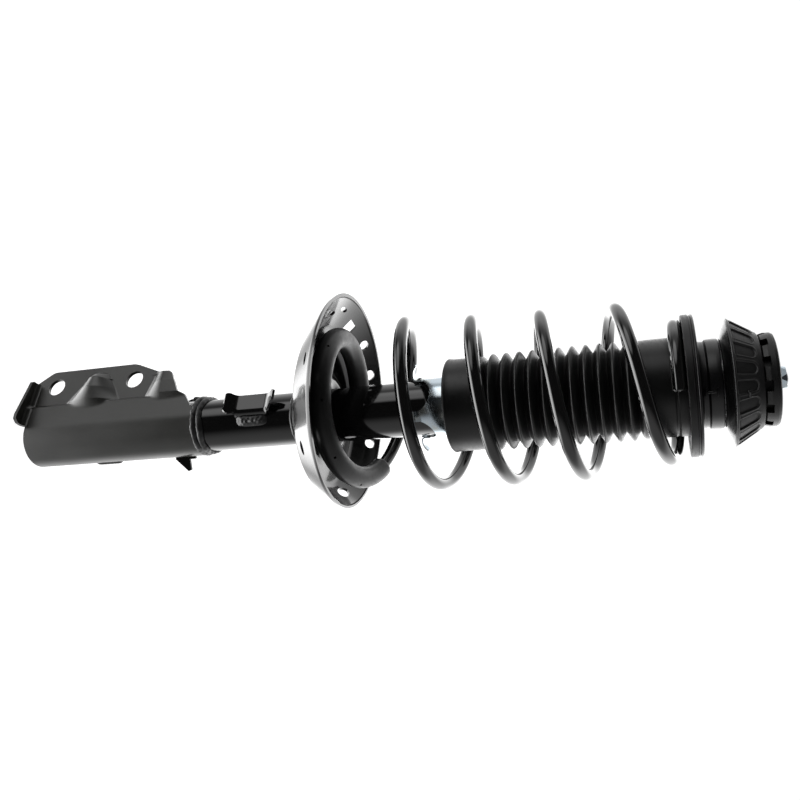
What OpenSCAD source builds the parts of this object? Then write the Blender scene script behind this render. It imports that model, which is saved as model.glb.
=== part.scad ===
// Strut assembly: twin-tube damper, coil spring, knuckle bracket and rubber top mount.
// Millimetres. +Z runs up the damper axis; Z = 0 is the top of the rubber cone, where the
// body's tower takes the load. +X points at the knuckle, between the bracket's two ears.

/* [Damper] */
// outside radius of the outer tube
tube_r = 22.5; // [20:0.5:30]
// wall of the outer tube
tube_wall = 2.2; // [1.5:0.1:3]
// height of the outer tube's lower end
tube_bottom = -622; // [-700:1:-560]
// height of the outer tube's upper end
tube_top = -232; // [-260:1:-200]
// radius of the piston rod
rod_r = 10; // [8:0.5:14]
// inside radius of the pressure tube
bore_r = 15; // [12:0.5:18]
// length of the bump stop
bump_length = 62; // [30:1:90]
// damper travel from full droop to the bump stop
travel = 120; // [60:1:160]

/* [Knuckle bracket] */
// thickness of the bracket's sheet
sheet = 3.2; // [2:0.1:5]
// clear gap between the two ears
ear_gap = 39; // [24:1:50]
// height of the lower knuckle bolt
bolt_low = -609; // [-640:1:-580]
// distance between the knuckle bolts
bolt_spacing = 84; // [50:1:100]
// distance from the damper axis to the bolts
bolt_reach = 42; // [35:1:60]
// radius of a knuckle bolt hole
bolt_hole_r = 8.5; // [5:0.1:10]

/* [Spring] */
// radius of the spring wire
wire_r = 5.3; // [4:0.1:8]
// height of the wire's centre at the lower end
spring_low = -330.8; // [-360:1:-300]
// height of the wire's centre at the upper end
spring_high = -57.1; // [-70:0.5:-50]
// mean radius of the full coils
coil_r = 63.5; // [50:0.5:90]
// mean radius of the lower end coil
coil_low_r = 57.3; // [45:0.1:80]
// mean radius of the upper end coil
coil_high_r = 46; // [40:0.5:80]

/* [Spring seats] */
// rim radius of the lower spring seat
dish_r = 89; // [75:1:100]
// height of the lower seat's rim
dish_rim = -318.6; // [-340:1:-300]
// sideways offset of the lower seat's rim
dish_offset = 11; // [0:0.5:15]
// tilt of the lower seat, in degrees
dish_tilt = 3; // [0:0.5:5]
// radius of the upper spring seat
seat_r = 53.2; // [50:1:70]

/* [Top mount] */
// radius of the rubber cone's lower edge
cone_r = 47.6; // [40:1:60]
// radius of the rubber cone's upper edge
cone_top_r = 34.6; // [30:0.2:45]
// height of the rubber cone
cone_h = 20.6; // [15:0.1:30]
// height of the castellated cap
cap_h = 11; // [8:0.5:20]
// radius of the threaded rod end
stud_r = 6; // [5:0.5:8]
// height of the rod's threaded end
stud_top = 18.6; // [15:0.1:25]

/* [Hidden] */
$fn = 64;
fit = 0.05;
lean = 31;                          // the spring's offsets point this far from +X towards +Y
bolt_high = bolt_low + bolt_spacing;
tube_in = tube_r - tube_wall;
wrap_r = tube_r + fit + sheet;
ear_in = ear_gap / 2;
ear_out = ear_in + sheet;
cap_top = tube_top + 2.1;           // top face of the bump cap
bump_low = cap_top + travel + 0.5;
seat_face = spring_high + wire_r;   // underside of the upper insulator
shoulder = -28.5;                   // where the rod steps down to its thread
ball_r = 2.4;
ball_z = -35.6;
ball_ring = 21.5;
dish_floor = dish_rim - 21.6;

// ---- helpers ----

// a ring of rectangular section
module ring(ri, ro, z0, z1) {
    translate([0, 0, z0]) difference() {
        cylinder(r = ro, h = z1 - z0);
        translate([0, 0, -1]) cylinder(r = ri, h = z1 - z0 + 2);
    }
}

// a solid of revolution from [radius, height] points
module turned(points) { rotate_extrude() polygon(points); }

function unit(v) = v / norm(v);

// the spring's centre line; t counts turns, whole numbers lie on the lean direction
coil_start = -0.28;
coil_end = 5.26;
sleeve_end = 0.58;
rise = [[-0.4, spring_low - 1.5], [0.3, spring_low + 8.5], [0.57, -302], [1, -266.8],
    [2, -209.6], [3, -155.4], [4, -99.5], [4.5, -63.5], [4.66, spring_high], [6, spring_high]];
tilt = [[-0.3, 4], [1.5, 4], [2, 0.8], [2.5, 0]];
width = [[-0.4, coil_low_r], [0.35, coil_low_r], [0.95, coil_r + 3], [1.6, coil_r + 2.5],
    [2.4, coil_r + 0.5], [4.1, coil_r - 1], [4.5, coil_high_r + 8.3], [5, coil_high_r],
    [6, coil_high_r]];
shift = [[0.3, 6.6], [1, 5], [2, 2], [4, 0.8], [5, 0]];
function soft(t, table) =
    let (w = 0.09)
    (lookup(t - w, table) + 2 * lookup(t - w / 2, table) + 2 * lookup(t, table)
        + 2 * lookup(t + w / 2, table) + lookup(t + w, table)) / 8;
function coil_at(t) =
    let (a = 360 * t + lean, r = soft(t, width), e = soft(t, shift))
    [r * cos(a) + e * cos(lean), r * sin(a) + e * sin(lean),
        soft(t, rise) + soft(t, tilt) * cos(360 * t)];
function along(t) = unit(coil_at(t + 0.002) - coil_at(t - 0.002));
function outward(t) =
    let (a = 360 * t + lean, d = along(t), o = [cos(a), sin(a), 0])
    unit(o - (o * d) * d);

// sweeps a section, given as [outward, across] points for each t, along the coil
module swept(t0, t1, steps, sections) {
    n = len(sections[0]);
    points = [for (i = [0:steps]) let (t = t0 + (t1 - t0) * i / steps, c = coil_at(t),
        u = outward(t), v = cross(along(t), u)) for (p = sections[min(i, len(sections) - 1)])
        c + p[0] * u + p[1] * v];
    sides = [for (i = [0:steps - 1]) for (j = [0:n - 1])
        let (a = i * n + j, b = i * n + (j + 1) % n) for (f = [[a, a + n, b + n], [a, b + n, b]]) f];
    polyhedron(points, concat([[for (j = [0:n - 1]) j]], sides,
        [[for (j = [n - 1:-1:0]) steps * n + j]]), convexity = 10);
}
function disc(r, n) = [for (j = [0:n - 1]) r * [cos(360 * j / n), sin(360 * j / n)]];
// a sleeve section, split along the side that lies on the seat
function sleeve(ri, ro, n) = concat(
    [for (j = [0:n]) let (a = -80 + 340 * j / n) ro * [cos(a), sin(a)]],
    [for (j = [n:-1:0]) let (a = -80 + 340 * j / n) ri * [cos(a), sin(a)]]);

// ---- damper body ----

module outer_tube() {
    color("black") turned([[tube_in, tube_bottom], [tube_r, tube_bottom], [tube_r, tube_top - 2],
        [tube_r - 2, tube_top], [14, tube_top], [14, tube_top - 1.6], [tube_in - 1, tube_top - 1.6],
        [tube_in, tube_top - 2.8]]);
}

module base_plug() {
    color("black") turned([[0, tube_bottom + 4], [13, tube_bottom + 4], [17, tube_bottom + 1],
        [tube_in - fit, tube_bottom + 1], [tube_in - fit, tube_bottom + 5.5],
        [18, tube_bottom + 5.5], [14, tube_bottom + 8], [0, tube_bottom + 8]]);
}

module pressure_tube() {
    color("silver") ring(bore_r, bore_r + 1, tube_bottom + 16, tube_top - 12);
}

module base_valve() {
    color("gold") translate([0, 0, tube_bottom + 8.1]) difference() {
        union() {
            cylinder(r = 17, h = 7.8);
            cylinder(r = bore_r - fit, h = 14);
        }
        for (a = [0:60:300]) rotate(a) translate([9, 0, -1]) cylinder(r = 1.5, h = 20);
        for (a = [30:60:330]) rotate(a) translate([18, 0, -1]) cylinder(r = 2.5, h = 7);
    }
}

module rod_guide() {
    color("silver") turned([[rod_r + fit, tube_top - 16], [bore_r - fit, tube_top - 16],
        [bore_r - fit, tube_top - 11.9], [tube_in - fit, tube_top - 11.9],
        [tube_in - fit, tube_top - 6], [rod_r + fit, tube_top - 6]]);
}

module rod_seal() {
    color("dimgray") turned([[rod_r + fit, tube_top - 5.9], [tube_in - 1.3, tube_top - 5.9],
        [tube_in - 1.3, tube_top - 1.7], [13, tube_top - 1.7], [12, tube_top - 0.2],
        [rod_r + fit, tube_top - 0.2]]);
}

// a pressed cap: four legs between arches, each turned outwards into a hook below the boot
leg_low = tube_top - 27.5;
module bump_cap() {
    color("lightsteelblue") {
        difference() {
            union() {
                ring(tube_r + fit, tube_r + 1.6, leg_low, tube_top + 1);
                ring(rod_r + 1, tube_r + 1.6, tube_top + 0.1, cap_top);
            }
            for (a = [0:90:270]) rotate(a + lean + 60) translate([0, 0, leg_low])
                rotate([0, 90, 0]) cylinder(r = 15.5, h = 40);
        }
        for (a = [0:90:270]) rotate(a + lean + 15) {
            translate([tube_r + 0.8, -4, leg_low]) cube([12.6, 8, 1.4]);
            translate([tube_r + 12.2, -4, leg_low]) cube([1.2, 8, 3.2]);
        }
    }
}

// ---- brackets ----

// section of the folded bracket: a U round the tube with two joggled ears
module bracket_section() {
    difference() {
        union() {
            circle(r = wrap_r);
            translate([0, -wrap_r]) square([19, 2 * wrap_r]);
        }
        circle(r = tube_r + fit);
        translate([0, -tube_r - fit]) square([30, 2 * (tube_r + fit)]);
    }
    for (s = [-1, 1]) polygon([[15, s * (wrap_r - sheet)], [15, s * wrap_r], [19, s * wrap_r],
        [23, s * ear_out], [59, s * ear_out], [59, s * ear_in], [21.5, s * ear_in],
        [18, s * (wrap_r - sheet)]]);
}

// side view of the bracket, [reach, height]
bracket_low = bolt_low - 25;
bracket_high = -455;
bracket_side = [[-30, bolt_low - 19], [18, bolt_low - 19], [26, bracket_low],
    [47, bracket_low], [59, bolt_low - 7], [59, bolt_high - 1], [48, bolt_high + 22],
    [47, bolt_high + 38], [26, bolt_high + 49], [14, bolt_high + 60], [4, bracket_high],
    [-30, bracket_high]];

// a pressed gusset from the wrap up to an ear, centred on height z
module gusset(z, low, high, top) {
    hull() {
        translate([14, wrap_r - 4, z - low]) cube([1, 4, low + high]);
        translate([15, wrap_r - 1, z - 6]) cube([1, 3, 10]);
        translate([34, ear_out, z - 6]) cube([1, 4.4, 8]);
        translate([top, ear_out - 1, z - 4]) cube([1, 1.2, 8]);
    }
}

module knuckle_bracket() {
    color("black") {
        difference() {
            union() {
                intersection() {
                    translate([0, 0, bracket_low]) linear_extrude(200) bracket_section();
                    translate([0, 60, 0]) rotate([90, 0, 0]) linear_extrude(120)
                        polygon(bracket_side);
                }
                for (s = [0, 1]) mirror([0, s, 0]) {
                    difference() {
                        gusset(bolt_low + 45, 28, 28, 50);
                        cube([200, 2 * ear_out - 2, 2000], center = true);
                    }
                    difference() {
                        gusset(bolt_high + 29, 14, 16, 45);
                        cube([200, 2 * ear_out - 2, 2000], center = true);
                    }
                    bottom_flange();
                }
            }
            for (z = [bolt_low, bolt_high]) translate([bolt_reach, 0, z]) rotate([90, 0, 0])
                cylinder(r = bolt_hole_r, h = 100, center = true);
            translate([0, 0, -700]) cylinder(r = tube_r + fit, h = 300);
        }
        rotate(214) translate([wrap_r - 0.4, -1.6, bolt_low + 38]) cube([2.6, 3.2, 28]);
    }
}

// the ear's lower end, turned outwards
module bottom_flange() {
    translate([0, 0, bracket_low]) linear_extrude(sheet)
        polygon([[24, ear_out - 1], [45, ear_out - 1], [47, 28], [46, 31], [8, 37.5], [3, 36.5],
            [0, 31], [1, wrap_r - 0.5], [16, wrap_r - 0.5]]);
    translate([1, wrap_r - 3, bracket_low + 0.5]) cube([17.5, 3, 7]);
}

module bracket_weld() {
    color("dimgray") difference() {
        union() for (k = [0:1]) translate([0, 0, bracket_high + 2.4 + 6.4 * k]) rotate_extrude()
            translate([tube_r + 0.6, 0]) circle(r = 2.5 - 0.3 * k, $fn = 24);
        translate([0, 0, -700]) cylinder(r = tube_r + 0.02, h = 400);
        translate([0, 0, bracket_high - 10]) cylinder(r = wrap_r + 3, h = 10);
    }
}

hose_low = -420;
hose_high = -375;
// the bracket's web and its turned-out ends, [distance from the axis, height]
hose_web = [[27.4, hose_low + 8], [27.4, hose_high - 8.5], [25.2, hose_high - 8.5],
    [25.2, hose_low + 8]];
hose_end_low = [[25.2, hose_low + 9], [27.6, hose_low + 4], [32.6, hose_low - 0.8],
    [34.2, hose_low + 0.8], [29.6, hose_low + 5.4], [27.4, hose_low + 9.8]];
hose_end_high = [[25.2, hose_high - 9.4], [28, hose_high - 4.8], [33, hose_high + 0.4],
    [34.6, hose_high - 1.2], [29.8, hose_high - 6.2], [27.4, hose_high - 10]];
module hose_bracket() {
    color("black") difference() {
        union() {
            translate([-6.2, 0, 0]) rotate([90, 0, 90]) linear_extrude(17) polygon(hose_web);
            translate([-8.2, 0, 0]) rotate([90, 0, 90]) linear_extrude(19.6) polygon(hose_end_low);
            translate([-3.2, 0, 0]) rotate([90, 0, 90]) linear_extrude(14.6) polygon(hose_end_high);
            // foot that is welded to the tube
            translate([-6.2, tube_r - 4, hose_low + 9]) cube([2.2, 7.5, 27]);
        }
        translate([0, 0, -700]) cylinder(r = tube_r + 0.02, h = 400);
    }
}

module hose_bracket_weld() {
    color("dimgray") difference() {
        union() {
            for (z = [-409:4:-385]) rotate(115) translate([tube_r + 0.4, 0, z])
                sphere(r = 3.6, $fn = 24);
            for (z = [-408:4.4:-386]) rotate(126) translate([tube_r - 0.6, 0, z])
                sphere(r = 3.6, $fn = 24);
        }
        translate([0, 0, -700]) cylinder(r = tube_r + 0.02, h = 400);
        translate([-6.3, 0, hose_low]) cube([30, 60, hose_high - hose_low]);
    }
}

module sensor_tab() {
    color("black") rotate(218) difference() {
        union() {
            translate([wrap_r - 3, -1, -489]) cube([5.5, 2, 20]);
            translate([wrap_r + 2, 1, 0]) rotate([90, 0, 0]) linear_extrude(2)
                polygon([[0, -489], [0, -475], [10.5, -475], [11.5, -478]]);
        }
        translate([0, 0, -700]) cylinder(r = wrap_r + 0.02, h = 400);
    }
}

// ---- lower spring seat ----

// the seat's sheet, [radius, height], about its own axis
dish_out = [[dish_r, dish_rim], [dish_r - 0.8, dish_rim - 2.6], [dish_r - 16, dish_floor + 0.4],
    [dish_r - 20, dish_floor - 2.2], [52, dish_floor - 3], [44, dish_floor - 5],
    [37, dish_rim - 41]];
dish_in = [[34.4, dish_rim - 41], [41.6, dish_floor - 3.2], [50, dish_floor - 0.5],
    [dish_r - 21, dish_floor + 0.2], [dish_r - 17.8, dish_floor + 2.2],
    [dish_r - 3, dish_rim - 1.4], [dish_r - 2.5, dish_rim]];

module lower_spring_seat() {
    color("black") difference() {
        union() {
            dish_place() turned(concat(dish_out, dish_in));
            // the neck that sleeves the tube
            turned([[tube_r + fit, dish_rim - 43], [tube_r + 3, dish_rim - 43],
                [46, dish_floor - 3], [48, dish_floor - 0.4], [34, dish_floor - 0.4],
                [tube_r + 3, dish_floor - 6], [tube_r + fit, dish_floor - 6]]);
            // the pressed dome inside the end coil
            turned([[tube_r + fit, dish_floor + 4], [29, dish_floor + 7], [35, dish_floor + 3],
                [37, dish_floor - 0.5], [34.5, dish_floor - 0.5], [32.8, dish_floor + 2],
                [28, dish_floor + 4.6], [tube_r + fit, dish_floor + 1]]);
        }
        translate([0, 0, -700]) cylinder(r = tube_r + fit, h = 500);
        for (a = [-50, -72, -118]) seat_hole(a, -8) cylinder(r = 4.6, h = 24, center = true);
        for (p = [[-171, -13], [-8, -8], [5, -12], [65, -8], [114, -13]]) seat_hole(p[0], p[1])
            hull() for (s = [-4, 4]) translate([0, s, 0])
                cylinder(r = 2.4, h = 24, center = true, $fn = 32);
        seat_hole(-28, -12) cube([11, 9, 24], center = true);
    }
}
// puts the seat's own axis in place: offset and tilted towards the lean direction
module dish_place() {
    translate([dish_offset * cos(lean), dish_offset * sin(lean), dish_rim])
        rotate(-dish_tilt, [-sin(lean), cos(lean), 0]) translate([0, 0, -dish_rim]) children();
}
module seat_hole(a, z) {
    dish_place() rotate(a + lean) translate([dish_r - 1.2 + 0.75 * z, 0, dish_rim + z])
        rotate([0, 127, 0]) children();
}

module seat_weld() {
    color("dimgray") difference() {
        translate([0, 0, dish_rim - 44.5]) rotate_extrude()
            translate([tube_r + 0.8, 0]) circle(r = 2.2, $fn = 24);
        translate([0, 0, -700]) cylinder(r = tube_r + 0.02, h = 500);
        turned([[0, dish_rim - 43], [60, dish_rim - 43], [60, dish_rim], [0, dish_rim]]);
    }
}

module lower_insulator() {
    color("dimgray") swept(coil_start - 0.02, sleeve_end, 34,
        [sleeve(wire_r + 0.15, 9, 14)]);
}

// ---- spring ----

module coil_spring() {
    color("black") swept(coil_start, coil_end, 240, [disc(wire_r, 14)]);
}

// ---- upper seat, bearing and boot ----

module upper_insulator() {
    color("dimgray") {
        turned([[38.2, seat_face + 6.5], [38.2, seat_face + 0.1], [seat_r - 0.5, seat_face + 0.1],
            [seat_r, seat_face + 0.6], [seat_r, seat_face + 5], [seat_r - 0.8, seat_face + 5.4],
            [seat_r - 0.8, seat_face + 6.5]]);
    }
}

module upper_spring_seat() {
    color("black") difference() {
        turned([[14, -47], [33, -47], [33, -60], [35.3, -60], [35.3, -45.2], [seat_r, -45.2],
            [seat_r, -44], [seat_r - 1, -43], [36, -43], [34, -41], [32.3, -40.4], [31.8, -33],
            [33, -32], [33, -27.6], [27.2, -27.6], [27.2, -43], [14, -43]]);
        for (a = [0:30:330]) rotate(a + 15) translate([44.5, 0, -44]) cylinder(r = 3, h = 5);
    }
}

boot_low = -231;
boot_high = -46;
folds = 11;
fold_low = -199;
fold_high = -86;
boot_wall = 1.6;
fold_pitch = (fold_high - fold_low) / folds;
boot_skin = concat([[37.2, boot_low], [37.2, fold_low - 2]],
    [for (i = [0:folds - 1]) each [[31.5, fold_low + i * fold_pitch],
        [36.8, fold_low + (i + 0.38) * fold_pitch], [38.3, fold_low + (i + 0.5) * fold_pitch],
        [36.8, fold_low + (i + 0.62) * fold_pitch]]],
    [[31.5, fold_high], [37.5, fold_high + 2], [37.5, boot_high]]);
module dust_boot() {
    color("dimgray") turned(concat(boot_skin,
        [for (i = [len(boot_skin) - 1:-1:0]) boot_skin[i] - [i > len(boot_skin) - 2 ? 2 : boot_wall
            + 0.3, 0]]));
}

module bearing_lower_race() {
    color("silver") race(-42.9, ball_z - 1.6, ball_z);
}
module bearing_upper_race() {
    color("silver") race(ball_z + 1.6, shoulder - 0.1, ball_z);
}
module race(z0, z1, zb) {
    difference() {
        ring(16, 26.6, z0, z1);
        translate([0, 0, zb]) rotate_extrude() translate([ball_ring, 0]) circle(r = ball_r + 0.35);
    }
}
module bearing_balls() {
    color("silver") for (a = [0:20:340]) rotate(a) translate([ball_ring, 0, ball_z])
        sphere(r = ball_r, $fn = 32);
}
module bearing_cage() {
    color("tan") difference() {
        ring(18.6, 24.4, ball_z - 1, ball_z + 1);
        for (a = [0:20:340]) rotate(a) translate([ball_ring, 0, ball_z - 3])
            cylinder(r = ball_r + 0.1, h = 6);
    }
}

// ---- rod and top mount ----

piston_z = -300;
module piston_rod() {
    color("silver") turned([[0, piston_z - 12], [5, piston_z - 12], [5, piston_z + 12],
        [rod_r, piston_z + 12.6], [rod_r, shoulder], [stud_r, shoulder], [stud_r, stud_top - 1],
        [stud_r - 1, stud_top], [0, stud_top]]);
}
module piston() {
    color("dimgray") difference() {
        ring(5 + fit, bore_r - 0.05, piston_z - 2, piston_z + 12);
        for (a = [0:60:300]) rotate(a) translate([10, 0, piston_z - 3]) cylinder(r = 1.6, h = 20);
    }
}
module piston_nut() {
    color("silver") difference() {
        translate([0, 0, piston_z - 9.5]) cylinder(r = 9.2, h = 7.4, $fn = 6);
        translate([0, 0, piston_z - 20]) cylinder(r = 5 + fit, h = 30);
    }
}
module rebound_stop() {
    color("dimgray") turned([[rod_r + 0.02, piston_z + 38], [14, piston_z + 38], [14, piston_z + 44],
        [12.5, piston_z + 50], [rod_r + 0.02, piston_z + 50]]);
}
module bump_stop() {
    color("khaki") turned([[rod_r + 0.02, -47.6], [25, -47.6], [26, -53], [26, -60], [21, -63],
        [21, -65], [25, -69], [25, -77], [19.5, -81], [19.5, -83], [23, -87], [22, -96],
        [17, bump_low + 3], [15, bump_low], [rod_r + 0.02, bump_low]]);
}
module mount_core() {
    color("silver") turned([[stud_r + fit, shoulder + 0.05], [26.5, shoulder + 0.05],
        [26.5, shoulder + 2.5], [15, shoulder + 2.5], [14, shoulder + 4], [14, 6],
        [stud_r + fit, 6]]);
}
module mount_rubber() {
    color("dimgray") difference() {
        turned([[14.05, 0], [14.05, shoulder + 4.05], [15.05, shoulder + 2.55],
            [26.55, shoulder + 2.55], [26.55, -26.9], [33, -26.9], [38, -25.2], [cone_r - 2, -22.6],
            [cone_r, -cone_h], [cone_r - 0.6, -cone_h + 1.2], [cone_top_r + 0.6, -1.2],
            [cone_top_r - 1, 0]]);
        for (a = [0:18:342]) rotate(a) translate([(cone_r + cone_top_r) / 2, 0, -cone_h / 2])
            rotate([0, -atan((cone_r - cone_top_r) / cone_h), 0]) translate([-1, -2.8, -7.5])
            cube([3, 5.6, 15]);
    }
}
module mount_cap() {
    color("dimgray") difference() {
        turned([[14.05, 0.02], [32, 0.02], [33.4, 1], [34.2, 4], [34.2, cap_h - 2.6],
            [33.2, cap_h - 0.8], [31, cap_h], [12, cap_h], [12, 7.5], [stud_r + fit, 7.5],
            [stud_r + fit, 6.05], [14.05, 6.05]]);
        for (a = [9:30:339]) rotate(a) translate([28.5, -3.8, -1]) cube([10, 7.6, 6.2]);
    }
}
module top_nut() {
    color("silver") difference() {
        translate([0, 0, 7.55]) intersection() {
            cylinder(r = 9.8, h = 10, $fn = 6);
            cylinder(r1 = 10.6, r2 = 8.6, h = 10);
        }
        cylinder(r = stud_r + fit, h = 40);
    }
}

outer_tube();
base_plug();
pressure_tube();
base_valve();
rod_guide();
rod_seal();
bump_cap();
knuckle_bracket();
bracket_weld();
hose_bracket();
hose_bracket_weld();
sensor_tab();
lower_spring_seat();
seat_weld();
lower_insulator();
coil_spring();
upper_insulator();
upper_spring_seat();
dust_boot();
bearing_lower_race();
bearing_balls();
bearing_cage();
bearing_upper_race();
piston_rod();
piston();
piston_nut();
rebound_stop();
bump_stop();
mount_core();
mount_rubber();
mount_cap();
top_nut();
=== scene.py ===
import math

import bmesh
import bpy
import numpy as np
from mathutils import Matrix, Vector


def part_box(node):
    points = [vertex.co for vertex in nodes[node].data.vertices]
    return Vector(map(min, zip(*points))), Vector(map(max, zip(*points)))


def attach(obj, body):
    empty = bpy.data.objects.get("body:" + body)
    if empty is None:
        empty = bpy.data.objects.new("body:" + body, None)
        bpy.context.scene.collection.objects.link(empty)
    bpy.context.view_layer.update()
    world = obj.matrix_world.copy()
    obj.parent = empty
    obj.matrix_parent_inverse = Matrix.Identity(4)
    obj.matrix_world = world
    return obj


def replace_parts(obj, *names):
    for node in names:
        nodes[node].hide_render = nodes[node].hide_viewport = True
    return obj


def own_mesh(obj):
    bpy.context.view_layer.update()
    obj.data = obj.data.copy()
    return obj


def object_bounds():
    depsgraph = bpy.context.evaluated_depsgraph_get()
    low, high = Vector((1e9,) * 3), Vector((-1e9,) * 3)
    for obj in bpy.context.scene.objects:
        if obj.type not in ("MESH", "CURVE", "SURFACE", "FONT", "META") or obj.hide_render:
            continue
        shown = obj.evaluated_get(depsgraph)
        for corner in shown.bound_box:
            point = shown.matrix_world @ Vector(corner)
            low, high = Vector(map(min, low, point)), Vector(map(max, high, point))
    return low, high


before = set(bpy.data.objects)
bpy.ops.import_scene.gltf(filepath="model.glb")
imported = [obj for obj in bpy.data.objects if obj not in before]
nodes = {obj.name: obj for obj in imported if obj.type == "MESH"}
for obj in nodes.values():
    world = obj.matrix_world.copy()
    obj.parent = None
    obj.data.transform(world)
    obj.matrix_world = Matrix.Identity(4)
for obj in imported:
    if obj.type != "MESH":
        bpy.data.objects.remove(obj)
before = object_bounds()
scene = bpy.context.scene

# Sizes are in millimetres, unless a comment says otherwise.
MM = 0.001
LEAN = math.radians(31)
UP = Vector((math.cos(LEAN), math.sin(LEAN), 0))  # up in the picture
NEAR = Vector((-math.sin(LEAN), math.cos(LEAN), 0))  # towards the camera
AXIS = Vector((0, 0, 1))  # up the damper


# ---------------------------------------------------------------- materials

COLOUR_A, COLOUR_B, COLOUR_OUT = 6, 7, 2  # sockets of a Mix node that mixes colours
DUST = (0.30, 0.29, 0.27)
BLOOM = (0.075, 0.075, 0.078)
GRIME = (0.05, 0.045, 0.04)


def give(tree, socket, value):
    """Links another node's output to a socket, or sets the socket to a plain value."""
    if isinstance(value, bpy.types.NodeSocket):
        tree.links.new(value, socket)
    else:
        socket.default_value = value


def add_node(tree, kind, inputs=None, **props):
    node = tree.nodes.new("ShaderNode" + kind)
    for name, value in props.items():
        setattr(node, name, value)
    for name, value in (inputs or {}).items():
        give(tree, node.inputs[name], value)
    return node


class Nodes:
    """A material's node tree, with short ways to add and join nodes."""

    def __init__(self, name):
        self.mat = bpy.data.materials.new(name)
        self.mat.use_nodes = True
        self.tree = self.mat.node_tree
        self.shader = self.tree.nodes["Principled BSDF"]
        self.place = self.tree.nodes.new("ShaderNodeTexCoord").outputs["Object"]

    def add(self, kind, inputs=None, **props):
        return add_node(self.tree, kind, inputs, **props)

    def noise(self, scale, detail=4.0, rough=0.5, stretch=None):
        where = self.place
        if stretch:
            where = self.add("Mapping", {"Vector": where, "Scale": stretch}).outputs[0]
        inputs = {"Vector": where, "Scale": scale, "Detail": detail, "Roughness": rough}
        return self.add("TexNoise", inputs).outputs[0]

    def span(self, value, low, high, start=0.3, end=0.7):
        """Turns a value between start and end into one between low and high."""
        inputs = {"Value": value, "From Min": start, "From Max": end, "To Min": low, "To Max": high}
        return self.add("MapRange", inputs).outputs[0]

    def mix(self, share, a, b):
        """A colour between a and b, each a colour or another node's output."""
        node = self.add("Mix", {0: share}, data_type="RGBA")
        for socket, colour in ((COLOUR_A, a), (COLOUR_B, b)):
            plain = not isinstance(colour, bpy.types.NodeSocket)
            give(self.tree, node.inputs[socket], (*colour, 1) if plain else colour)
        return node.outputs[COLOUR_OUT]

    def math(self, op, a, b=0.0):
        return self.add("Math", {0: a, 1: b}, operation=op).outputs[0]

    def set(self, **inputs):
        """Sets the shader's inputs, with an underscore for each space in a name."""
        for name, value in inputs.items():
            give(self.tree, self.shader.inputs[name.replace("_", " ")], value)

    def bump(self, height, distance, strength=1.0, normal=None):
        """A normal from a height; distance is in metres."""
        inputs = {"Height": height, "Distance": distance, "Strength": strength}
        if normal is not None:
            inputs["Normal"] = normal
        return self.add("Bump", inputs).outputs[0]


def scaled(colour, k):
    return tuple(min(1, x * k) for x in colour)


def paint(name, base, rough, coat, peel, dust=0.02, warm=0.98):
    """Black electrocoat or powder coat: orange peel, faint dust and small changes in gloss."""
    m = Nodes(name)
    cloud = m.noise(28, 5, 0.6)
    dirt = m.math("MULTIPLY", m.span(m.noise(420, 6), 0, 1, 0.60, 0.78), m.span(cloud, 0.1, 1))
    colour = m.mix(cloud, scaled((base, base, base / warm), 0.8), scaled((base, base, base / warm), 1.4))
    colour = m.mix(m.math("MULTIPLY", dirt, dust), colour, DUST)
    gloss = m.math("ADD", m.span(cloud, *rough), m.math("MULTIPLY", dirt, 0.15))
    m.set(Base_Color=colour, Roughness=gloss)
    m.set(Coat_Weight=coat, Coat_Roughness=0.02, Specular_IOR_Level=0.5)
    low = m.bump(m.noise(110, 2, 0.4), 0.00003, peel)
    m.set(Normal=m.bump(m.noise(700, 2), 0.000003, peel, low))
    return m.mat


def rubber(name, base, rough, grain, bloom):
    """Moulded rubber: fine grain, a grey bloom in patches and soft scuffs."""
    m = Nodes(name)
    cloud = m.noise(22, 6, 0.62)
    patch = m.noise(70, 4, 0.55)
    scuff = m.noise(160, 8, 0.7, (1, 1, 6))
    dark = (base * 0.75, base * 0.75, base * 0.77)
    pale = (base * 1.3, base * 1.3, base * 1.32)
    grey = m.math("MULTIPLY", m.span(patch, 0, 1, 0.45, 0.7), m.span(scuff, 0.2, 1, 0.4, 0.7))
    colour = m.mix(m.math("MULTIPLY", grey, bloom), m.mix(cloud, dark, pale), BLOOM)
    m.set(Base_Color=colour, Roughness=m.span(scuff, *rough, 0.35, 0.65), Specular_IOR_Level=0.42)
    low = m.bump(patch, 0.00012, grain * 0.5)
    m.set(Normal=m.bump(m.noise(1300, 3, 0.6), 0.00003, grain, low))
    return m.mat


def metal(name, colour, rough, brush=None, tint=None, grime=0.2):
    """Bare, plated or chromed metal: fine brushing, cloudy gloss and a tint in the plating."""
    m = Nodes(name)
    cloud = m.noise(55, 5, 0.6)
    colour = m.mix(cloud, scaled(colour, 0.85), scaled(colour, 1.08))
    if tint:
        colour = m.mix(m.span(m.noise(90, 3), 0, 0.6, 0.45, 0.75), colour, tint)
    spots = m.span(m.noise(300, 8, 0.7), 0, 1, 0.5, 0.8)
    colour = m.mix(m.math("MULTIPLY", spots, grime), colour, GRIME)
    m.set(Base_Color=colour, Metallic=1.0, Roughness=m.span(cloud, *rough))
    m.set(Normal=m.bump(m.noise(900, 4, 0.6, brush), 0.000015, 0.5))
    return m.mat


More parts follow.
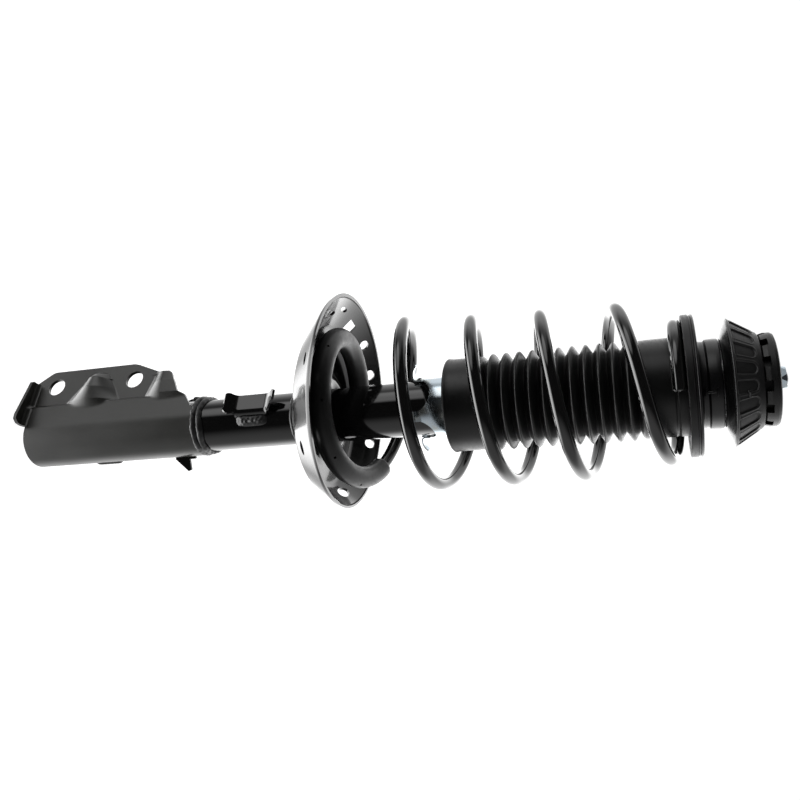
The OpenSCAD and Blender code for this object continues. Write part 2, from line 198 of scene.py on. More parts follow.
def plastic(name, base, rough, grain=0.3):
    """Moulded plastic with spark-eroded grain."""
    m = Nodes(name)
    cloud = m.noise(30, 4, 0.6)
    colour = m.mix(cloud, scaled(base, 0.85), scaled(base, 1.25))
    m.set(Base_Color=colour, Roughness=m.span(cloud, *rough), Specular_IOR_Level=0.5)
    low = m.bump(m.noise(90, 2), 0.00008, 0.3)
    m.set(Normal=m.bump(m.noise(1700, 2), 0.000012, grain, low))
    return m.mat


GLOSS = paint("gloss_black_paint", 0.008, (0.04, 0.1), 0.3, 0.3)
SPRING = paint("spring_powder_coat", 0.009, (0.02, 0.07), 0.5, 0.4)
DISH = paint("seat_paint", 0.010, (0.11, 0.18), 0.3, 0.3)
SATIN = paint("bracket_paint", 0.025, (0.28, 0.38), 0.15, 0.4, 0.03, 1.14)
WELD = paint("weld_paint", 0.016, (0.34, 0.52), 0.1, 0.8)
BOOT = rubber("boot_rubber", 0.007, (0.30, 0.44), 0.3, 0.06)
SLEEVE = rubber("insulator_rubber", 0.016, (0.34, 0.5), 0.6, 0.25)
SEAT_RUBBER = rubber("upper_insulator_rubber", 0.010, (0.34, 0.5), 0.4, 0.12)
CONE = rubber("mount_rubber", 0.024, (0.36, 0.5), 0.5, 0.25)
CONE_SKIN = rubber("mount_rubber_skin", 0.014, (0.14, 0.24), 0.2, 0.1)
STOP = rubber("stop_rubber", 0.022, (0.5, 0.7), 0.5, 0.2)
HOUSING = plastic("housing_plastic", (0.006, 0.006, 0.007), (0.28, 0.40))
CAP = plastic("cap_plastic", (0.009, 0.009, 0.009), (0.36, 0.5), 0.6)
NYLON = plastic("natural_nylon", (0.62, 0.54, 0.40), (0.35, 0.5))
FOAM = rubber("cellular_foam", 0.4, (0.7, 0.85), 1.0, 0.1)
ZINC = metal("zinc_plate", (0.56, 0.64, 0.70), (0.10, 0.2), None, (0.66, 0.62, 0.50), 0.05)
STEEL = metal("bright_steel", (0.56, 0.56, 0.57), (0.18, 0.34), (1, 1, 30))
SINTER = metal("sintered_steel", (0.34, 0.33, 0.32), (0.35, 0.5))
CHROME = metal("hard_chrome", (0.78, 0.79, 0.81), (0.04, 0.1), (1, 1, 60), None, 0.03)

for group, mat in {
    "outer_tube base_plug sensor_tab": GLOSS,
    "pressure_tube rod_guide piston_nut": STEEL,
    "mount_core bearing_lower_race bearing_upper_race": STEEL,
    "base_valve piston": SINTER,
    "rod_seal rebound_stop": STOP,
    "bump_stop": FOAM,
    "upper_insulator": SEAT_RUBBER,
    "mount_cap": CAP,
    "bearing_cage": NYLON,
    "piston_rod bearing_balls": CHROME,
    "top_nut": ZINC,
}.items():
    for node_name in group.split():
        nodes[node_name].data.materials.clear()
        nodes[node_name].data.materials.append(mat)


# ---------------------------------------------------------------- mesh helpers

SHARP = math.radians(35)  # edges that turn by more than this stay sharp


def mesh_object(name, verts, faces):
    """A new object from points in millimetres in the row frame."""
    mesh = bpy.data.meshes.new(name)
    mesh.from_pydata([tuple(float(x) * MM for x in v) for v in verts], [], faces)
    obj = bpy.data.objects.new(name, mesh)
    scene.collection.objects.link(obj)
    return obj


def piece(name, verts, faces, mat, body, smooth=True):
    """A new mesh as a piece that rides on a body."""
    obj = mesh_object(name, verts, faces)
    obj.data.validate()
    obj.data.materials.append(mat)
    fix(obj, smooth)
    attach(obj, body)
    return obj


def scrap(verts, faces):
    """A mesh for cut() to take away."""
    obj = mesh_object("scrap", verts, faces)
    fix(obj, False)
    return obj


def fix(obj, smooth=True):
    """Points the faces outwards and smooths all but the sharp edges."""
    bm = bmesh.new()
    bm.from_mesh(obj.data)
    bmesh.ops.remove_doubles(bm, verts=bm.verts, dist=1e-6)
    bmesh.ops.recalc_face_normals(bm, faces=bm.faces)
    for face in bm.faces:
        face.smooth = smooth
    for edge in bm.edges:
        if len(edge.link_faces) == 2 and edge.calc_face_angle(0) > SHARP:
            edge.smooth = False
    bm.to_mesh(obj.data)
    bm.free()


def bake(obj):
    """Applies the modifiers of obj to its mesh."""
    bpy.context.view_layer.update()
    graph = bpy.context.evaluated_depsgraph_get()
    mesh = bpy.data.meshes.new_from_object(obj.evaluated_get(graph))
    obj.modifiers.clear()
    obj.data = mesh
    fix(obj)


def cut(obj, tools):
    """Takes the tools, which are scrap meshes, away from obj."""
    for tool in tools:
        mod = obj.modifiers.new("cut", "BOOLEAN")
        mod.object, mod.operation, mod.solver = tool, "DIFFERENCE", "EXACT"
    bake(obj)
    for tool in tools:
        bpy.data.objects.remove(tool)


def thicken(obj, thickness, offset=-1):
    """Gives an open sheet its thickness: inwards from its face, or to both sides with offset 0."""
    mod = obj.modifiers.new("sheet", "SOLIDIFY")
    mod.thickness, mod.offset = thickness * MM, offset
    mod.use_even_offset = offset != 0
    bake(obj)


def bevel(obj, width, segments=2, angle=50):
    """Rounds the edges that turn by more than angle, in degrees."""
    mod = obj.modifiers.new("edge", "BEVEL")
    mod.width, mod.segments = width * MM, segments
    mod.limit_method, mod.angle_limit = "ANGLE", math.radians(angle)
    mod.use_clamp_overlap = True
    bake(obj)


def outwards(obj):
    """Makes an open sheet's normals point away from the damper axis, above all sideways."""
    total = 0.0
    for face in obj.data.polygons:
        away = Vector((face.center.x * 0.2, face.center.y, 0))
        total += face.normal.dot(away) * face.area
    if total < 0:
        obj.data.flip_normals()


def heading(a):
    """The direction square to the axis at angle a from +X."""
    return Vector((math.cos(a), math.sin(a), 0))


def off_angle(a, centre, period=360):
    """Degrees from a, in radians, to the nearest of centre, centre + period and so on."""
    return (np.degrees(a) - centre + period / 2) % period - period / 2


def circle(r, n):
    return [(r * math.cos(2 * math.pi * k / n), r * math.sin(2 * math.pi * k / n)) for k in range(n)]


def turned(profile, n):
    """Points of a profile of (radius, height) turned about the damper axis."""
    return [(x, y, z) for r, z in profile for x, y in circle(r, n)]


def grid(rows, cols):
    """Faces of an open sheet of rows by cols points."""
    corners = (0, 1, cols + 1, cols)
    starts = [i * cols + j for i in range(rows - 1) for j in range(cols - 1)]
    return [[start + c for c in corners] for start in starts]


def ring(first, second, n):
    """Faces between two loops of n points that start at these indices."""
    return [[first + j, first + (j + 1) % n, second + (j + 1) % n, second + j] for j in range(n)]


def tube(rows, n, closed=False):
    """Faces of loops of n points in rows; closed joins the last loop to the first."""
    faces = [face for i in range(rows - 1) for face in ring(i * n, i * n + n, n)]
    return faces + (ring((rows - 1) * n, 0, n) if closed else [])


def caps(first, second, n):
    """The end faces of a tube whose end loops of n points start at these indices."""
    return [list(range(first, first + n))[::-1], list(range(second, second + n))]


def rod(centre, direction, r, length, n=48, wide=1.0, side=None):
    """A scrap cylinder, or one drawn out to wide times its radius along side."""
    d = Vector(direction).normalized()
    u = d.orthogonal() if side is None else Vector(side)
    u = (u - u.dot(d) * d).normalized()
    v = d.cross(u)
    c = Vector(centre)
    verts = [c + s * length * d + wide * x * u + y * v for s in (-0.5, 0.5) for x, y in circle(r, n)]
    return scrap(verts, ring(0, n, n) + caps(0, n, n))


def box_tool(centre, x, z, size):
    """A scrap box with its height along z and its length as near to x as can be."""
    z = Vector(z).normalized()
    x = Vector(x)
    x = (x - x.dot(z) * z).normalized()
    y = z.cross(x)
    a, b, h = (s / 2 for s in size)
    corners = ((-a, -b), (a, -b), (a, b), (-a, b))
    verts = [centre + p * x + q * y + s * z for s in (-h, h) for p, q in corners]
    return scrap(verts, ring(0, 4, 4) + caps(0, 4, 4))


def rounded(points, radius, steps=5):
    """A polyline with its inner corners rounded."""
    out = [points[0]]
    for a, b, c in zip(points, points[1:], points[2:]):
        a, b, c = (np.array(p, float) for p in (a, b, c))
        la, lc = np.linalg.norm(a - b), np.linalg.norm(c - b)
        r = min(radius, la * 0.45, lc * 0.45)
        p, q = b + (a - b) / la * r, b + (c - b) / lc * r
        for k in range(steps + 1):
            t = k / steps
            out.append(tuple((1 - t) ** 2 * p + 2 * t * (1 - t) * b + t * t * q))
    out.append(points[-1])
    return out


def smoothstep(a, b, x):
    """Rises smoothly from 0 at x = a to 1 at x = b."""
    t = np.clip((np.asarray(x, float) - a) / (b - a), 0, 1)
    return t * t * (3 - 2 * t)


# ---------------------------------------------------------------- coil spring
# A place on the coil is its turn t: 0 points up in the picture, and 0.25 at the camera.
# The tables give the height, tilt, radius and shift towards UP of the wire's middle there.

WIRE = 5.3
SPRING_FOOT, SPRING_TOP = -330.8, -57.1
RISE = [
    (-0.4, -332.3), (0.3, -322.3), (0.57, -302), (1, -266.8), (2, -209.6), (3, -155.4), (4, -99.5),
    (4.5, -63.5), (4.66, SPRING_TOP), (6, SPRING_TOP),
]  # fmt: skip
TILT = [(-0.3, 4), (1.5, 4), (2, 0.8), (2.5, 0)]
WIDTH = [
    (-0.4, 57.3), (0.35, 57.3), (0.95, 66.5), (1.6, 66), (2.4, 64), (4.1, 62.5), (4.5, 54.3),
    (5, 46), (6, 46),
]  # fmt: skip
SHIFT = [(0.3, 6.6), (1, 5), (2, 2), (4, 0.8), (5, 0)]
TABLE_BLUR = 0.09  # turns over which a table's corners are rounded
TURN_STEP = 0.002  # turns to each side that give the wire's direction
COIL_START, COIL_END = -0.28, 5.26
SLEEVE_R, SLEEVE_BORE = 9.0, WIRE + 0.3
SLEEVE_START, SLEEVE_END = COIL_START - 0.02, 0.58
SLEEVE_HOLES = (0.0, 0.115, 0.235, 0.355, 0.465)
HOLE_R, HOLE_LENGTH = 1.15, 3.2
HOLE_OUT, HOLE_UP = 0.84, 0.54  # the holes' direction


def soft(t, table):
    """The table's value at turn t, with its corners rounded."""
    xs, ys = zip(*table)
    spread = ((1, -1), (2, -0.5), (2, 0), (2, 0.5), (1, 1))
    return float(sum(k * np.interp(t + o * TABLE_BLUR, xs, ys) for k, o in spread)) / 8


def coil_at(t):
    a = 2 * math.pi * t
    r, shift = soft(t, WIDTH), soft(t, SHIFT)
    p = (r * math.cos(a) + shift) * UP + r * math.sin(a) * NEAR
    return Vector((p.x, p.y, soft(t, RISE) + soft(t, TILT) * math.cos(a)))


def coil_frame(t):
    """The wire's middle at turn t, and the directions outwards and across."""
    a = 2 * math.pi * t
    along = (coil_at(t + TURN_STEP) - coil_at(t - TURN_STEP)).normalized()
    out = math.cos(a) * UP + math.sin(a) * NEAR
    out = (out - out.dot(along) * along).normalized()
    return coil_at(t), out, along.cross(out)


def coil_run(start, end, inset, count, edge):
    """Turns and radii from start to end; edge gives both ends as (turns from the end, radius)."""
    ts = [start + o for o, _ in edge]
    ts += np.linspace(start + inset, end - inset, count).tolist()
    ts += [end - o for o, _ in edge[::-1]]
    radii = [r for _, r in edge]
    return ts, radii + [radii[-1]] * count + radii[::-1]


def swept(ts, radii, n):
    """Points of circles round the wire's middle, one at each turn."""
    verts = []
    for t, r in zip(ts, radii):
        centre, out, across = coil_frame(t)
        verts += [centre + x * out + y * across for x, y in circle(r, n)]
    return verts


def coil_piece():
    n = 32
    edge = [(0.0, WIRE * 0.80), (0.0012, WIRE * 0.93), (0.003, WIRE)]
    ts, radii = coil_run(COIL_START, COIL_END, inset=0.008, count=430, edge=edge)
    faces = tube(len(ts), n) + caps(0, (len(ts) - 1) * n, n)
    obj = piece("spring_wire", swept(ts, radii, n), faces, SPRING, "strut_body")
    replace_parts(obj, "coil_spring")
    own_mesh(obj)


def sleeve_piece():
    """The rubber tube on the lower end turn, with small holes along its top."""
    n = 36
    edge = [(0, WIRE + 0.35), (0, 7.2), (0.0016, 8.2), (0.0045, 8.8), (0.009, SLEEVE_R)]
    ts, radii = coil_run(SLEEVE_START, SLEEVE_END, inset=0.02, count=90, edge=edge)
    verts = swept(ts, radii, n) + swept(ts[::-1], [SLEEVE_BORE] * len(ts), n)
    faces = tube(2 * len(ts), n, True)
    obj = piece("lower_coil_sleeve", verts, faces, SLEEVE, "strut_body")
    tools = []
    for t in SLEEVE_HOLES:
        centre, out, across = coil_frame(t)
        way = HOLE_OUT * out + math.copysign(HOLE_UP, across.z) * across
        tools.append(rod(centre + (SLEEVE_R - 0.4) * way, way, HOLE_R, HOLE_LENGTH, 20))
    cut(obj, tools)
    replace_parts(obj, "lower_insulator")
    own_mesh(obj)


coil_piece()
sleeve_piece()


# ---------------------------------------------------------------- dust boot

BOOT_LOW, BOOT_HIGH = -231.0, -46.0
FOLDS, FOLDS_LOW, FOLDS_HIGH = 11, -199.0, -86.0
FOLD_STEPS = 24
VALLEY_R, FOLD_DEPTH = 31.5, 6.8
VALLEY_END, CREST_START = 0.1, 0.7  # shares of a fold's flank that end its two rounded parts
CUFF_WALL, FOLD_WALL = 1.9, 1.5


def fold(x):
    """A fold's height, from 0 to 1; x runs from 0 in the valley to 1 on the crest."""
    low, high = VALLEY_END / 2, (1 + CREST_START) / 2
    height = x
    if x < VALLEY_END:
        height = low + x**2 / (2 * VALLEY_END)
    elif x > CREST_START:
        height = high - (1 - x) ** 2 / (2 * (1 - CREST_START))
    return (height - low) / (high - low)


def boot_piece():
    """The bellows between a smooth lower cuff and an upper cuff with a groove."""
    low, high, start, end = BOOT_LOW, BOOT_HIGH, FOLDS_LOW, FOLDS_HIGH
    lower_cuff = [
        (34.8, low + 0.2), (37.0, low), (37.9, low + 1.2), (37.4, low + 3.4), (37.2, low + 6),
        (37.1, start - 5.5), (36.6, start - 2.2), (33.0, start - 0.4),
    ]  # fmt: skip
    upper_cuff = [
        (VALLEY_R, end), (35.6, end + 1.6), (37.2, end + 3.2), (37.4, end + 7), (37.4, -60.5),
        (37.0, -59.6), (37.0, -58.4), (37.4, -57.5), (37.4, high + 0.5), (36.8, high),
    ]  # fmt: skip
    outer = rounded(lower_cuff, 1.2)
    for k in range(FOLDS * FOLD_STEPS):
        x = 1 - abs(2 * (k % FOLD_STEPS) / FOLD_STEPS - 1)
        z = start + k / FOLD_STEPS * (end - start) / FOLDS
        outer.append((VALLEY_R + FOLD_DEPTH * fold(x), z))
    outer += rounded(upper_cuff, 0.8)
    inner = [(r - (CUFF_WALL if z > end or z < start - 1 else FOLD_WALL), z) for r, z in outer[::-1]]
    n = 224
    verts = turned(outer + inner, n)
    faces = tube(len(outer + inner), n, True)
    obj = piece("boot_bellows", verts, faces, BOOT, "upper_seat")
    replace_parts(obj, "dust_boot")
    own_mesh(obj)


boot_piece()


# ---------------------------------------------------------------- lower spring seat

RIM_Z, RIM_R, RIM_SHIFT = -318.2, 89.3, 11.3
NECK_R, FLOOR_R, BEND_R = 25.5, 46, 68.5  # where the neck, the floor and the rising wall begin
SEAT_TILT = math.radians(3.5)
SEAT_UNDER = [
    (22.55, -43.2), (NECK_R, -43), (FLOOR_R, -25.4), (52, -24.6), (64, -24.4), (69.2, -22.6),
    (88.6, -2.6), (RIM_R, 0),
]  # fmt: skip
SEAT_TOP = [
    (86.9, 0), (86.6, -1.6), (67.6, -20.6), (62, -22), (48, -22.2), (40, -22.4), (36.8, -20.6),
    (33.6, -16.4), (29, -14.9), (25.6, -15.8), (22.55, -18.5),
]  # fmt: skip
CUT_LENGTH = 24
# The wall's openings: degrees from UP towards NEAR, depth below the rim, radius and stretch.
SEAT_HOLES = [
    (-50, 8, 4.6, 1), (-72, 8, 4.6, 1), (-118, 8, 4.6, 1), (-171, 13, 5.2, 1.6), (-8, 8, 2.3, 2.6),
    (5, 12, 2.2, 2.4), (65, 7, 2.2, 2.6), (114, 14, 2.4, 2.6),
]  # fmt: skip
SEAT_WINDOW, WINDOW_SIZE = (-28, 12.5), (10.5, 14, CUT_LENGTH)
WALL_IN, WALL_SLOPE = 1.4, 0.9  # how far inside the rim the wall starts, and goes on with depth
WALL_OUT, WALL_DOWN = 0.77, 0.64  # the direction square to the wall


def seat_point(a, r, z):
    """A point of the seat's sheet; its circles shift and tilt more towards the rim."""
    r, z = float(r), float(z)
    u, v = r * math.cos(a), r * math.sin(a)
    shift = float(np.interp(r, (NECK_R, FLOOR_R, BEND_R, RIM_R), (0, 3.5, 7, RIM_SHIFT)))
    tilt = float(np.interp(r, (NECK_R, FLOOR_R), (0, 1))) * math.sin(SEAT_TILT)
    p = (u + shift) * UP + v * NEAR
    return Vector((p.x, p.y, RIM_Z + z + tilt * u))


def wall_place(degrees, depth):
    """Centre of an opening in the wall, the direction through it and the one along the wall."""
    a = math.radians(degrees)
    centre = seat_point(a, RIM_R - WALL_IN - WALL_SLOPE * depth, -depth)
    out = math.cos(a) * UP + math.sin(a) * NEAR
    return centre, WALL_OUT * out - WALL_DOWN * AXIS, AXIS.cross(out)


def dish_piece():
    """The seat's pressing: neck, floor, wall and rim, with its openings."""
    profile = rounded(SEAT_UNDER, 5, 7) + rounded(SEAT_TOP, 4, 6)
    n = 288
    verts = [seat_point(2 * math.pi * k / n, r, z) for r, z in profile for k in range(n)]
    faces = tube(len(profile), n, True)
    obj = piece("lower_seat_dish", verts, faces, DISH, "strut_body")
    tools = []
    for degrees, depth, r, wide in SEAT_HOLES:
        centre, through, side = wall_place(degrees, depth)
        tools.append(rod(centre, through, r, CUT_LENGTH, 48, wide, None if wide == 1 else side))
    centre, through, _ = wall_place(*SEAT_WINDOW)
    tools.append(box_tool(centre, AXIS, through, WINDOW_SIZE))
    cut(obj, tools)
    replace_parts(obj, "lower_spring_seat")


dish_piece()


# ---------------------------------------------------------------- knuckle bracket
# The ears are at y = EAR on both sides; WRAP is the radius of the sheet round the tube.

EAR, WRAP, SHEET = 22.7, 25.75, 3.2
EDGE_X = 59  # the ears' free edge
BOLTS, BOLT_R = [(42, -609), (42, -525)], 8.5
BEND_XS = (19.4, 22.6)  # where the wrap turns into the ears
GUSSET_BLEND, FACE_IN = 0.8, 0.04
TOP_EDGE = [
    (-40, -456), (3, -456), (14, -463), (19, -466.5), (22.5, -474), (32, -478), (41.5, -482.6),
    (43.8, -486), (44.6, -496), (48, -501), (58, -524.5), (EDGE_X, -529),
]  # fmt: skip
LOW_EDGE = [
    (-40, -628), (17, -628), (21, -631), (24, -633), (46, -633), (48, -631.5), (56.5, -620),
    (58.4, -616.8), (EDGE_X, -614),
]  # fmt: skip
GUSSET_X = 20  # where the gussets' flanks and crests are stated first; the second is the nose


def soft_max(a, b, k):
    """The larger of a and b, with the change rounded over k."""
    return np.maximum(a, b) + np.maximum(k - np.abs(a - b), 0) ** 2 / (4 * k)


def gusset(x, z, sides, xs, heights):
    """How far a pressed gusset stands out of the ear at (x, z).

    sides are the heights of its lower foot, crest and upper foot, each at GUSSET_X and at the
    nose; xs and heights are the crest's profile.
    """
    along = (x - GUSSET_X) / (xs[-1] - GUSSET_X)
    low, crest, high = (first + (nose - first) * along for first, nose in sides)
    share = np.where(z < crest, (z - low) / (crest - low), (high - z) / (high - crest))
    return np.interp(x, xs, heights) * np.sin(np.clip(share, 0, 1) * math.pi / 2)


def ear_face(x, z):
    """Height of the bracket's outer face, in y, at (x, z), for the flat sides."""
    base = EAR + (WRAP - EAR) * (1 - smoothstep(*BEND_XS, x))
    lower = gusset(
        x, z, ((-594, -571.5), (-566, -563), (-534, -554.5)),
        (2, 14, 22, 34, 44, 49, 52), (0, 2.4, 6.8, 9.4, 8.8, 5.6, 0),
    )  # fmt: skip
    upper = gusset(
        x, z, ((-510, -500.5), (-490, -491), (-430, -450)),
        (2, 14, 22, 34, 44, 52), (0, 2.2, 5.6, 7.0, 6, 3),
    )  # fmt: skip
    return soft_max(base, EAR + np.maximum(lower, upper), GUSSET_BLEND) - FACE_IN


def bracket_piece():
    """The sheet from one ear's edge round the tube to the other's, in upright rows of points.

    The rows are closest where the wrap turns into the ear.
    """
    rows = 200
    ear = np.concatenate([
        np.linspace(EDGE_X, 23.4, 64), np.linspace(22.8, 17.8, 18), np.linspace(17, 0.6, 26),
    ])  # fmt: skip
    wrap = [math.radians(a) for a in np.linspace(90, 270, 74)]
    section = [(x, 1) for x in ear] + [(WRAP * math.cos(a), WRAP * math.sin(a)) for a in wrap]
    first_wrap, last_wrap = len(ear), len(section)
    section += [(x, -1) for x in ear[::-1]]
    verts = []
    for i, (x, y) in enumerate(section):
        low, high = np.interp(x, *zip(*LOW_EDGE)), np.interp(x, *zip(*TOP_EDGE))
        z = low + (high - low) * np.linspace(0, 1, rows)
        wrapped = first_wrap <= i < last_wrap
        ys = np.full(rows, y) if wrapped else y * ear_face(np.full(rows, x), z)
        verts += [(x, a, b) for a, b in zip(ys, z)]
    faces = grid(len(section), rows)
    obj = piece("bracket_sheet", verts, faces, SATIN, "strut_body")
    outwards(obj)
    thicken(obj, SHEET)
    cut(obj, [rod((x, 0, z), (0, 1, 0), BOLT_R, 120, 64) for x, z in BOLTS])
    bevel(obj, 0.45)
    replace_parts(obj, "knuckle_bracket")


FLANGE_Z, FLANGE_R = -625.6, 5  # where the lower end starts to bend, and the bend's radius
FLANGE_XS, FLANGE_YS = (0.5, 3, 8, 45, 46.5), (32.5, 36.8, 37.2, 31.2, 29.5)  # its free edge
FLANGE_BEND_XS = (18, 23)


def flange_piece(name, side):
    """The turned-out lower end of the ear on one side, 1 or -1."""
    steps = 12
    rows = []
    for x in np.linspace(FLANGE_XS[0], FLANGE_XS[-1], 60):
        start = EAR + (WRAP - EAR) * (1 - float(smoothstep(*FLANGE_BEND_XS, x)))
        reach = np.interp(x, FLANGE_XS, FLANGE_YS)
        row = [(start - 0.05, FLANGE_Z + 3.6)]
        for k in range(steps + 1):
            a = math.pi / 2 * k / steps
            row.append((start + FLANGE_R * (1 - math.cos(a)), FLANGE_Z - FLANGE_R * math.sin(a)))
        bent = start + FLANGE_R
        row += [(bent + (reach - bent) * k / steps, FLANGE_Z - FLANGE_R) for k in range(1, steps + 1)]
        rows.append([(x, side * y, z) for y, z in row])
    verts = [v for row in rows for v in row]
    faces = grid(len(rows), len(rows[0]))
    obj = piece(name, verts, faces, SATIN, "strut_body")
    flat = [p for p in obj.data.polygons if p.center.z < (FLANGE_Z - FLANGE_R + 0.2) * MM]
    if sum(p.normal.z for p in flat) < 0:
        obj.data.flip_normals()
    thicken(obj, SHEET - 0.1)
    bevel(obj, 0.5)


RIB_LOW, RIB_HIGH, RIB_HALF, RIB_OUT = -571, -543, 1.7, 2.4
RIB_ANGLE = 214  # degrees from +X


def rib_piece():
    """The low rib on the wrap's far side."""
    out = heading(math.radians(RIB_ANGLE))
    side = AXIS.cross(out)
    middle, half = (RIB_LOW + RIB_HIGH) / 2, (RIB_HIGH - RIB_LOW) / 2
    rows, n = 15, 9
    verts = []
    for z in np.linspace(RIB_LOW, RIB_HIGH, rows).tolist():
        h = RIB_OUT * math.sqrt(1 - ((z - middle) / (half + 0.01)) ** 8)
        for k in range(n):
            b = math.pi * k / (n - 1)
            y = (WRAP - 0.5 + h * math.sin(b)) * out
            verts.append(y - RIB_HALF * math.cos(b) * side + z * AXIS)
    last = (rows - 1) * n
    faces = tube(rows, n) + caps(0, last, n)
    piece("bracket_rib", verts, faces, SATIN, "strut_body")


bracket_piece()
flange_piece("bracket_flange_near", 1)
flange_piece("bracket_flange_far", -1)
rib_piece()


# ---------------------------------------------------------------- welds

LUMP_SCALE = 20  # millimetres in which a wave of strength 1 turns by one radian
BEAD_STRETCH = 1.15  # a bead is a little longer along the tube than it is high


def lumps(seed, count, low, high):
    """A smooth random field over points in millimetres, roughly from -1 to 1.

    It is a sum of count waves in random directions, whose strengths are from low to high.
    """
    rng = np.random.default_rng(seed)
    waves = rng.normal(size=(count, 3))
    waves /= np.linalg.norm(waves, axis=1)[:, None]
    waves *= rng.uniform(low, high, count)[:, None] / LUMP_SCALE
    phase = rng.uniform(0, 2 * math.pi, count)
    return lambda p: float(np.sin(waves @ np.array(p) + phase).sum()) / math.sqrt(count)


def weld_ring(name, z, r, seed, bead=2.6, wander=0.6):
    """A rough bead laid round the tube by hand."""
    coarse, fine = lumps(seed, 20, 2, 9), lumps(seed + 1, 30, 12, 44)
    n, m = 340, 20
    verts = []
    for i in range(n):
        a = 2 * math.pi * i / n
        x, y = math.cos(a), math.sin(a)
        middle = z + wander * coarse((r * x, r * y, 0))
        for u, v in circle(bead, m):
            p = ((r + u) * x, (r + u) * y, v)
            k = 1 + 0.10 * coarse(p) + 0.06 * fine(p)
            verts.append(((r + k * u) * x, (r + k * u) * y, middle + BEAD_STRETCH * k * v))
    return piece(name, verts, tube(n, m, True), WELD, "strut_body")


def weld_blob(name, degrees, z, size, r, seed):
    """A puddle of weld on the tube; size is (round the tube, along it, high)."""
    coarse, fine = lumps(seed, 20, 3, 12), lumps(seed + 1, 30, 14, 50)
    wide, long, high = size
    rows, n = 40, 72
    verts = []
    for i in range(rows):
        s = i / (rows - 1)
        for x, y in circle(1, n):
            square = (x**4 + y**4) ** -0.25
            reach = s * square * (1 + 0.07 * coarse((9 * x, 9 * y, 0)))
            u, v = reach * x * wide / 2, reach * y * long / 2
            rough = 1 + 0.2 * coarse((u, v, 3)) + 0.1 * fine((u, v, 0))
            top = r + (1 - s**3.2) * high * rough - 0.5
            a = math.radians(degrees) + u / r
            verts.append((top * math.cos(a), top * math.sin(a), z + v))
    base = len(verts)
    for x, y, h in verts[-n:]:
        k = (r - 1.5) / math.hypot(x, y)
        verts.append((k * x, k * y, h))
    faces = tube(rows + 1, n) + [list(range(base, base + n))]
    return piece(name, verts, faces, WELD, "strut_body")


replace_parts(weld_ring("wrap_weld_a", -454.4, 23.3, 3, 2.9, 0.4), "bracket_weld")
weld_ring("wrap_weld_b", -449.4, 22.9, 5)
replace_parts(weld_ring("seat_weld_bead", -362.4, 22.6, 8, 1.7, 0.3), "seat_weld")
puddle = weld_blob("hose_weld_puddle", 116, -399, (11, 29, 2.8), 22.5, 11)
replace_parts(puddle, "hose_bracket_weld")
weld_blob("wrap_weld_end_near", 36, -460, (5, 7, 1.8), 25.2, 14)
weld_blob("wrap_weld_end_far", -36, -460, (5, 7, 1.8), 25.2, 15)


# ---------------------------------------------------------------- brake hose bracket

HOSE_SHEET = 2.1
HOSE_SIDES = (-6.2, 10.8)  # the web's two edges, in x
HOSE_MIDDLE = -400  # height between its two ends
LOW_END_LEFT, HIGH_END_LEFT, END_RIGHT = -2.0, 5.4, 0.8  # how far the ends' edges are moved
CORNER_R, CORNER_Y, CORNER_LENGTH = 3.6, 30, 4.2
CURL_X, CURL_WIDTH, CURL_DEPTH = -2.4, 3.8, 4.2  # the web's edge that curls back to the tube
HOSE_PATH = [
    (34.0, -420.4), (29.6, -416.4), (26.3, -411.2), (26.3, -384.6), (29.4, -380.2), (34.2, -375.4),
]  # fmt: skip


def quarter(share, x):
    """Drop of a quarter circle at x from 0 to 1; a share below 1 stops it short of upright."""
    return 1 - math.sqrt(1 - share * x**2)


def hose_bracket_piece():
    """The small pressing that carries the brake hose: a web with both ends turned out."""
    path = np.array(rounded(HOSE_PATH, 3.0, 7))
    run = np.concatenate([[0], np.cumsum(np.hypot(*np.diff(path, axis=0).T))])
    at = np.linspace(0, run[-1], 110)
    ys, zs = (np.interp(at, run, path[:, i]).tolist() for i in (0, 1))
    verts, cols = [], 34
    for y, z in zip(ys, zs):
        end = float(smoothstep(27.5, 31.5, y))
        web = 1 - float(smoothstep(26.4, 29, y))
        corner = CORNER_R * quarter(0.98, max(0, (y - CORNER_Y) / CORNER_LENGTH))
        left = HOSE_SIDES[0] + corner + end * (LOW_END_LEFT if z < HOSE_MIDDLE else HIGH_END_LEFT)
        right = HOSE_SIDES[1] - corner + end * END_RIGHT
        for k in range(cols):
            x = right + (left - right) * k / (cols - 1)
            curl = min(1, max(0, (CURL_X - x) / CURL_WIDTH))
            verts.append((x, y - web * CURL_DEPTH * quarter(0.999, curl), z))
    faces = grid(len(ys), cols)
    obj = piece("hose_bracket_pressing", verts, faces, GLOSS, "strut_body")
    thicken(obj, HOSE_SHEET, 0)
    bevel(obj, 0.5, 3)
    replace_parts(obj, "hose_bracket")


hose_bracket_piece()


# ---------------------------------------------------------------- bump cap

CAP_SHEET = 1.4
SKIRT_R, SKIRT_LOW, CROWN_Z, CROWN_BORE = 24.1, -259.5, -229.9, 11.2
SKIRT_MIDDLE_R = SKIRT_R - CAP_SHEET / 2
LEGS, ARCH_R, ARCH_ANGLE = 4, 15.5, 60
HOOK_PATH = [
    (24.0, -252), (24.0, -256.5), (24.6, -258.4), (26.5, -259.3), (30, -259.2), (33.6, -258),
    (35.9, -255.8),
]  # fmt: skip


